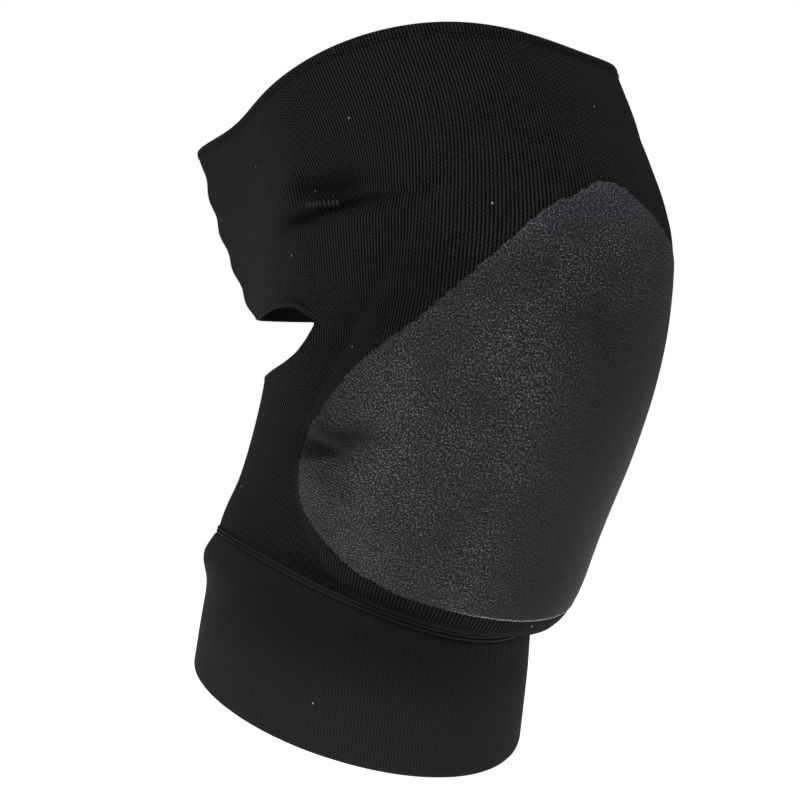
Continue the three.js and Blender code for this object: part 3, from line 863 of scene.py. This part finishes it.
# Outline of the coating: half width by height in shares of its own sizes, and how far
# its middle leans to the wearer's right near the top, in degrees.
COAT = table(
    ["height", "half", "middle"],
    [
        [0.000, 0.520, 0],
        [0.025, 0.660, 0],
        [0.080, 0.790, 0],
        [0.155, 0.910, 0],
        [0.255, 0.975, 0],
        [0.375, 0.990, 0],
        [0.540, 0.863, 2],
        [0.690, 0.610, 5],
        [0.820, 0.390, 9],
        [0.915, 0.220, 13],
        [0.970, 0.105, 13],
        [1.000, 0.035, 13],
    ],
)

coat_low = BODY_BOTTOM + COAT_RISE
coat_high = coat_low + COAT_HEIGHT


# Polyurethane print: pits of painted shade between satin pebbles with painted highlights,
# at the sides and over the knee. In front it is smoother, and its lower edge carries a
# pale painted highlight.
def coat_material():
    material, tree = new_material("polyurethane_print")
    cloth = add_node(tree, "ShaderNodeUVMap", uv_map="cloth")
    place = add_node(tree, "ShaderNodeSeparateXYZ", {0: cloth})
    across = add_node(tree, "ShaderNodeMath", {0: place.outputs["X"]}, operation="ABSOLUTE")
    upwards = place.outputs["Y"]

    # Three patterns: the grain, the ripples of the knit below it, and wide patches.
    grain = {"Vector": cloth, "Scale": 1 / COAT_GRAIN, "Detail": 1.0, "Roughness": 0.6}
    pebbles = add_node(tree, "ShaderNodeTexNoise", grain)
    flat = (1 / COAT_RIPPLE_LENGTH, 1 / COAT_RIPPLE, 1.0)
    laid = {"Vector": cloth, "Scale": flat, "Rotation": (0, 0, COAT_RIPPLE_TURN)}
    stretch = add_node(tree, "ShaderNodeMapping", laid)
    waves = {"Vector": stretch, "Scale": 1.0, "Detail": 1.0, "Distortion": 0.2}
    ripples = add_node(tree, "ShaderNodeTexNoise", waves)
    wide = {"Vector": cloth, "Scale": 1 / COAT_PATCHES, "Detail": 2.0}
    patches = add_node(tree, "ShaderNodeTexNoise", wide)

    # How grainy it is: at the sides and above, and in some patches more than in others.
    sides = {0: across, 1: GRAINY_ASIDE[0], 2: GRAINY_ASIDE[1], 3: 0.0, 4: 1.0}
    aside = add_node(tree, "ShaderNodeMapRange", sides)
    upper = {0: upwards, 1: GRAINY_ABOVE[0], 2: GRAINY_ABOVE[1], 3: 0.0, 4: 0.9}
    above = add_node(tree, "ShaderNodeMapRange", upper)
    rough = add_node(tree, "ShaderNodeMath", {0: aside, 1: above}, operation="MAXIMUM")
    blotches = {0: patches.outputs[0], 1: 0.35, 2: 0.6, 3: 0.6, 4: 1.0}
    varied = add_node(tree, "ShaderNodeMapRange", blotches)
    spread = add_node(tree, "ShaderNodeMath", {0: rough, 1: varied}, operation="MULTIPLY")

    # Ripples show through in a band beside the front, under the grain.
    past = add_node(tree, "ShaderNodeMath", {0: across, 1: COAT_RIPPLE_PLACE}, operation="SUBTRACT")
    away = add_node(tree, "ShaderNodeMath", {0: past}, operation="ABSOLUTE")
    share = add_node(tree, "ShaderNodeMapRange", {0: away, 1: 3.0, 2: 14.0, 3: 0.84, 4: 0.96})
    layers = {0: share, 2: ripples.outputs[0], 3: pebbles.outputs[0]}
    height = add_node(tree, "ShaderNodeMix", layers, data_type="FLOAT")

    # The relief about its middle, deeper where it is grainy and deeper still towards the rim,
    # where the pebbles get a stronger painted highlight; and the colour is painted lighter
    # towards the top, as a painted highlight from above.
    fade = add_node(tree, "ShaderNodeMapRange", {0: spread, 1: 0.0, 2: 1.0, 3: 0.14, 4: 0.8})
    # Painted highlight: towards the rim the pebbles are drawn lighter and the pits darker.
    border = {0: across, 1: HIGHLIGHT_RIM[0], 2: HIGHLIGHT_RIM[1], 3: 0.0, 4: 0.15}
    rim = add_node(tree, "ShaderNodeMapRange", border)
    strong = add_node(tree, "ShaderNodeMath", {0: fade, 1: rim}, operation="ADD")
    relief = add_node(tree, "ShaderNodeMath", {0: height, 1: 0.5}, operation="SUBTRACT")
    base = add_node(tree, "ShaderNodeMapRange", {0: spread, 1: 0.0, 2: 1.0, 3: -0.05, 4: -0.004})
    # Painted highlight: the colour is drawn lighter towards the top, for the light from above.
    light = {0: upwards, 1: HIGHLIGHT_ABOVE[0], 2: HIGHLIGHT_ABOVE[1], 3: 0.0, 4: 0.075}
    top_highlight = add_node(tree, "ShaderNodeMapRange", light)
    shift = add_node(tree, "ShaderNodeMath", {0: base, 1: top_highlight}, operation="ADD")
    scaled = {0: relief, 1: strong, 2: shift}
    even = add_node(tree, "ShaderNodeMath", scaled, operation="MULTIPLY_ADD")

    # The fan of ridges, whose lines lean and sway a little.
    lean = math.radians(FAN_TURN)
    rate = 2 * math.pi / FAN_PITCH
    bent = {0: ripples.outputs[0], 1: FAN_SWAY}
    sway = add_node(tree, "ShaderNodeMath", bent, operation="MULTIPLY")
    climb = {0: upwards, 1: rate * math.cos(lean), 2: sway}
    rise = add_node(tree, "ShaderNodeMath", climb, operation="MULTIPLY_ADD")
    sweep = {0: across, 1: rate * math.sin(lean), 2: rise}
    turn = add_node(tree, "ShaderNodeMath", sweep, operation="MULTIPLY_ADD")
    ridge = add_node(tree, "ShaderNodeMath", {0: turn}, operation="SINE")
    fan = add_node(tree, "ShaderNodeAttribute", attribute_name="fan")
    pleats = {0: ridge, 1: fan.outputs["Fac"]}
    pleat = add_node(tree, "ShaderNodeMath", pleats, operation="MULTIPLY")
    pleated = {0: pleat, 1: FAN_DEPTH, 2: even}
    deep = add_node(tree, "ShaderNodeMath", pleated, operation="MULTIPLY_ADD")

    # From pit to pebble the colour gets lighter, from painted shade in the pits to a painted
    # highlight on the tops, and the surface glossier.
    heights = {0: deep, 1: COAT_PIT_DEPTH, 2: COAT_PEBBLE, 3: 0.0, 4: 1.0}
    tint = add_node(tree, "ShaderNodeMapRange", heights)
    colour = add_node(tree, "ShaderNodeValToRGB", {0: tint})
    colour.color_ramp.elements[0].color = paint(COAT_PIT_SHADE)
    colour.color_ramp.elements[1].color = paint(COAT_PEBBLE_HIGHLIGHT)
    flank = colour.color_ramp.elements.new(COAT_SKIN_PLACE)
    flank.color = paint(COAT_SKIN)
    bumped = add_node(tree, "ShaderNodeBump", {"Height": deep, "Distance": COAT_RELIEF * MM})
    gloss = add_node(tree, "ShaderNodeMapRange", {0: tint, 1: 0.0, 2: 1.0, 3: 0.75, 4: 0.36})

    # Pebbles on the lower edge in front are painted pale grey: a painted highlight where the edge
    # catches the light.
    low, high = (coat_low + level for level in HIGHLIGHT_LIP)
    edge = add_node(tree, "ShaderNodeMapRange", {0: upwards, 1: low, 2: high, 3: 1.0, 4: 0.0})
    middle = {0: across, 1: HIGHLIGHT_FRONT[0], 2: HIGHLIGHT_FRONT[1], 3: 1.0, 4: 0.0}
    front = add_node(tree, "ShaderNodeMapRange", middle)
    caps = {0: pebbles.outputs[0], 1: 0.42, 2: 0.56, 3: 0.0, 4: 1.0}
    specks = add_node(tree, "ShaderNodeMapRange", caps)
    lit_edge = add_node(tree, "ShaderNodeMath", {0: edge, 1: front}, operation="MULTIPLY")
    edge_highlight = add_node(tree, "ShaderNodeMath", {0: lit_edge, 1: specks}, operation="MULTIPLY")
    # The print takes the painted shade too.
    highlighted_edge = {0: edge_highlight, 6: in_painted_shade(tree, colour.outputs[0]), 7: paint(COAT_EDGE_HIGHLIGHT)}
    body = add_node(tree, "ShaderNodeMix", highlighted_edge, data_type="RGBA")
    skin = {"Base Color": body.outputs[2], "Normal": bumped, "Roughness": gloss}
    satin = {"IOR": 1.5, "Specular IOR Level": 0.2}
    shader = add_node(tree, "ShaderNodeBsdfPrincipled", skin | satin)
    add_node(tree, "ShaderNodeOutputMaterial", {"Surface": shader})
    return material


# The grid's columns and rows crowd at the dart too.
COAT_DART_HEIGHT = -33
COAT_DART_WIDTH = 22
COAT_DART_TALL = 14


def coat_angle(share):
    half, spread = COAT_HALF_ANGLE, COAT_DART_WIDTH
    return graded(share, -half, half, lambda a: 1 + bump(np.abs(a), DART_ANGLE, spread))


def coat_level(share):
    return graded(share, coat_low, coat_high, lambda h: 1 + bump(h, COAT_DART_HEIGHT, COAT_DART_TALL))


# Fine ridges fan out below the dart: where they lie, as the painted shade is given.
FANS = table(
    FOLD_COLUMNS,
    [
        [77, -0.257, -30, 0.42, 0.110, 1.0],
        [84, -0.195, -20, 0.20, 0.050, 1.0],
    ],
)


def coat_place(across, up):
    angle, height = coat_angle(across), coat_level(up)
    points = cloth_point(angle, height, -COAT_PROUD)
    # Marks of painted shade, and of the fan of ridges.
    marks = mark_at(PAINTED_SHADES, angle, height), mark_at(FANS, angle, height)
    return points, cloth_place(angle, height), *marks


# The faces outside its outline are dropped. Each row and column stops a little early or
# late, which leaves the teeth, and the edge is then eased.
coat_mesh = grid_mesh(COAT_COLUMNS, COAT_ROWS, coat_place)
chance = np.random.default_rng(7)
column_teeth = chance.uniform(-1, 1, COAT_COLUMNS) * COAT_TEETH
row_teeth = chance.uniform(-1, 1, COAT_ROWS) * COAT_TEETH
coat_heights = coat_level(middles(COAT_ROWS))[:, None] + column_teeth
coat_shares = (coat_heights - coat_low) / COAT_HEIGHT
coat_halves = along(COAT, "height", "half", coat_shares) * COAT_HALF_ANGLE
coat_turned = np.abs(coat_angle(middles(COAT_COLUMNS)) - along(COAT, "height", "middle", coat_shares))
coat_halves = coat_halves + np.degrees(row_teeth / LEG_RADIUS)[:, None]
beyond = (coat_heights < coat_low) | (coat_heights > coat_high)
drop_faces(coat_mesh, beyond | (coat_turned > coat_halves))
coat_rim = [vert for vert in coat_mesh.verts if vert.is_boundary]
all_ways = {"use_axis_x": True, "use_axis_y": True, "use_axis_z": True}
for _ in range(2):
    bmesh.ops.smooth_vert(coat_mesh, verts=coat_rim, factor=0.5, **all_ways)
coat = add_piece("printed_coating", coat_mesh, coat_material(), wall=COAT_WALL)
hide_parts("coated_panel")

# Thigh tacks. A bar tack of black thread on each side gathers the knit above the knee
# into a short dart. It is a row of upright wraps that lean a little and lie on the knit.
TACK_ANGLE = 91.5
TACK_SHARE = 0.2465
TACK_SLOPE = 0.1
TACK_LENGTH = 11.5
TACK_HALF_WIDTH = 0.96
TACK_WRAPS = 9
TACK_LEAN = 0.12
TACK_THICK = 1.05
TACK_PROUD = 0.35

# The same thread, fuzzed by rubbing, so its strands look greyer.
TACK_LIGHT = "#2e3033"
tack_thread = thread_material("brushed_polyester_thread", TACK_LIGHT)
ends = np.array([-1, 1])
for name, side in (("right", 1), ("left", -1)):
    tack_mesh = bmesh.new()
    for i in range(TACK_WRAPS):
        run = (i / (TACK_WRAPS - 1) - 0.5) * TACK_LENGTH
        angles = side * (TACK_ANGLE - np.degrees((run + ends * TACK_LEAN) / LEG_RADIUS))
        heights = TACK_SHARE * BODY_HEIGHT - TACK_SLOPE * run + ends * TACK_HALF_WIDTH
        low, high = cloth_point(angles, heights, -TACK_PROUD)
        add_stitch(tack_mesh, low, high, form_normal(angles, heights)[0], TACK_THICK)
    tack = add_piece(name + "_bar_tack", tack_mesh, tack_thread)
    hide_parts(name + "_thigh_tack")

# Cut-out hem. The edge of the cut-out is rolled over and overlocked into a round bead of
# the same knit, which runs once round the hole behind the knee.
CUTOUT_CORD = 2.4
CUTOUT_POINTS = 240
BEAD_STEPS = 300
BEAD_SIDES = 12


# Middle of the bead, along the top or the bottom edge from tip to tip.
def cutout_edge(side, name):
    angle = 180 - side * CUTOUT_HALF_ANGLE
    height = along(CUTOUT, "side", name, np.abs(side)) * CUTOUT_HEIGHT
    return form_point(angle, height) - KNIT / 2 * form_normal(angle, height)


# Even steps along a closed line through points.
def even_steps(points, count):
    closed = np.concatenate([points, points[:1]])
    run = np.concatenate([[0], np.cumsum(np.linalg.norm(np.diff(closed, axis=0), axis=1))])
    at = np.linspace(0, run[-1], count + 1)[:-1]
    return np.stack([np.interp(at, run, closed[:, k]) for k in range(3)], axis=-1), run[-1]


# A round bead along a closed line, with its places on the cloth along it and round it.
def bead_mesh(points, radius, length):
    count = len(points)
    tangent = np.roll(points, -1, axis=0) - np.roll(points, 1, axis=0)
    tangent /= np.linalg.norm(tangent, axis=1, keepdims=True)
    out = points * [1, 1, 0]
    out /= np.linalg.norm(out, axis=1, keepdims=True)
    wide = np.cross(tangent, out)
    wide /= np.linalg.norm(wide, axis=1, keepdims=True)
    thick = np.cross(wide, tangent)

    def place(across, up):
        i = np.round(across * count).astype(int) % count
        turn = (2 * np.pi * up)[:, None]
        moved = points[i] + radius * (np.sin(turn) * wide[i] + np.cos(turn) * thick[i])
        return moved, np.stack([across * length, up * 2 * np.pi * radius], axis=-1)

    mesh = grid_mesh(count, BEAD_SIDES, place)
    join_edges(mesh)
    bmesh.ops.recalc_face_normals(mesh, faces=mesh.faces)
    return mesh


sides = np.linspace(-1, 1, CUTOUT_POINTS)
cutout_loop = np.concatenate([cutout_edge(sides, "top"), cutout_edge(sides[::-1], "bottom")])
cutout_path, cutout_length = even_steps(cutout_loop, BEAD_STEPS)
rolled = bead_mesh(cutout_path, CUTOUT_CORD / 2, cutout_length)
bead = add_piece("rolled_bead", rolled, rib_knit)
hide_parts("cutout_hem")

# Cuff seam. The cuff is joined to the sleeve by an overlocked seam that lies as two
# tight black cords side by side.
SEAM_CORD = 2.4
SEAM_PROUD = 0.6
SEAM_COLUMNS = 400
SEAM_SIDES = 12
seam_middle = BODY_BOTTOM - GAP - SEAM_CORD / 2
seam_radius = SEAM_CORD / 4
for name, rise in (("upper", seam_radius), ("lower", -seam_radius)):
    turn = np.linspace(0, 2 * np.pi, SEAM_SIDES + 1)
    heights = seam_middle + rise + seam_radius * np.sin(turn)
    depths = -SEAM_PROUD + seam_radius - seam_radius * np.cos(turn)
    cord_mesh = ring_mesh(SEAM_COLUMNS, (heights, depths))
    cord = add_piece(name + "_seam_cord", cord_mesh, black_thread)
    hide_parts("cuff_seam")

# Calf cuff. A double layer of flatter rib, folded at the bottom. It is gathered a little
# where it meets the seam, and its top rolls out behind the calf.
CUFF_TOP = BODY_BOTTOM - SEAM_CORD - 2 * GAP
CUFF_BOTTOM = CUFF_TOP - CUFF_HEIGHT
CUFF_WALL = 3
CUFF_COLUMNS = 520
CUFF_ROWS = 40
CUFF_ROLL = 3.2
CUFF_ROLL_FROM = 85
CUFF_ROLL_TO = 130
CUFF_ROLL_PLACE = 0.16
CUFF_ROLL_TALL = 0.125
CUFF_WALE = 1.2
CUFF_COURSE = 0.95
CUFF_DARK = "#18191a"
CUFF_LIGHT = "#242527"
CUFF_RELIEF = 0.06
GATHER_PITCH = 3.3
GATHER_DEPTH = 0.35
GATHER_REACH = 5


# How far the cuff stands out: its roll behind the calf, and the gathers under the seam.
def cuff_out(angle, height):
    behind = smooth_step(np.abs(angle), CUFF_ROLL_FROM, CUFF_ROLL_TO)
    middle = CUFF_TOP - CUFF_ROLL_PLACE * CUFF_HEIGHT
    roll = CUFF_ROLL * behind * bump(height, middle, CUFF_ROLL_TALL * CUFF_HEIGHT)
    fade = np.exp(-np.maximum(CUFF_TOP - height, 0) / GATHER_REACH)
    wave = np.cos(2 * np.pi * girth_at(angle, height) / GATHER_PITCH)
    return roll + GATHER_DEPTH * fade * wave


fine_knit = ("fine_rib_knit", CUFF_WALE, CUFF_COURSE, CUFF_DARK, CUFF_LIGHT, CUFF_RELIEF)
cuff_knit = knit_material(*fine_knit)
cuff_outline = wall_outline(CUFF_BOTTOM, CUFF_TOP + INTO_SEAM, 0, CUFF_WALL, CUFF_ROWS)
cuff_mesh = ring_mesh(CUFF_COLUMNS, cuff_outline, cuff_out)
cuff = add_piece("ribbed_cuff", cuff_mesh, cuff_knit)
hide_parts("calf_cuff")

# Studio. A plain white floor below the pad, which glows so that it shows no edge, white
# all round, and two large soft lights.
FLOOR_HEIGHT = -190
FLOOR_RADIUS = 1100
FLOOR_SIDES = 96
FLOOR_GLOW = 0.9
floor_mesh = bmesh.new()
bmesh.ops.create_circle(floor_mesh, segments=FLOOR_SIDES, radius=FLOOR_RADIUS * MM, cap_ends=True)
bmesh.ops.translate(floor_mesh, verts=floor_mesh.verts, vec=(0, 0, FLOOR_HEIGHT * MM))
floor_data = bpy.data.meshes.new("studio_floor")
floor_mesh.to_mesh(floor_data)
floor_mesh.free()
floor = bpy.data.objects.new("studio_floor", floor_data)
bpy.context.scene.collection.objects.link(floor)
floor_paint, floor_tree = new_material("matt_white_floor")
matt_white = {"Base Color": paint("#f0f0f0"), "Roughness": 0.9, "Emission Strength": FLOOR_GLOW}
floor_shader = add_node(floor_tree, "ShaderNodeBsdfPrincipled", matt_white)
add_node(floor_tree, "ShaderNodeOutputMaterial", {"Surface": floor_shader})
floor_data.materials.append(floor_paint)

# The walls are white to the camera, and dim in what they throw back on the pad.
WALL_GLOW = 0.14
world = bpy.data.worlds.new("white_studio")
world.use_nodes = True
world.node_tree.nodes.clear()
rays = add_node(world.node_tree, "ShaderNodeLightPath")
seen = {0: rays.outputs["Is Camera Ray"], 1: 0.0, 2: 1.0, 3: WALL_GLOW, 4: 1.0}
strength = add_node(world.node_tree, "ShaderNodeMapRange", seen)
white = {"Color": paint("#ffffff"), "Strength": strength}
glow = add_node(world.node_tree, "ShaderNodeBackground", white)
add_node(world.node_tree, "ShaderNodeOutputWorld", {"Surface": glow})
bpy.context.scene.world = world
bpy.context.scene.view_settings.view_transform = "Standard"

# Each light: its place round the pad and up in degrees, distance, size and power.
LIGHTS = (
    ("left_window", -76, 38, 1100, 600, 9),
    ("top_window", -45, 80, 1500, 1500, 8.5),
)
for name, azimuth, elevation, distance, size, power in LIGHTS:
    light = bpy.data.objects.new(name, bpy.data.lights.new(name, "AREA"))
    light.data.size = size * MM
    light.data.energy = power
    around, up = math.radians(azimuth), math.radians(elevation)
    level = math.cos(up)
    sight = Vector((math.sin(around) * level, -math.cos(around) * level, math.sin(up)))
    light.location = sight * distance * MM
    light.rotation_euler = sight.to_track_quat("Z", "Y").to_euler()
    bpy.context.scene.collection.objects.link(light)
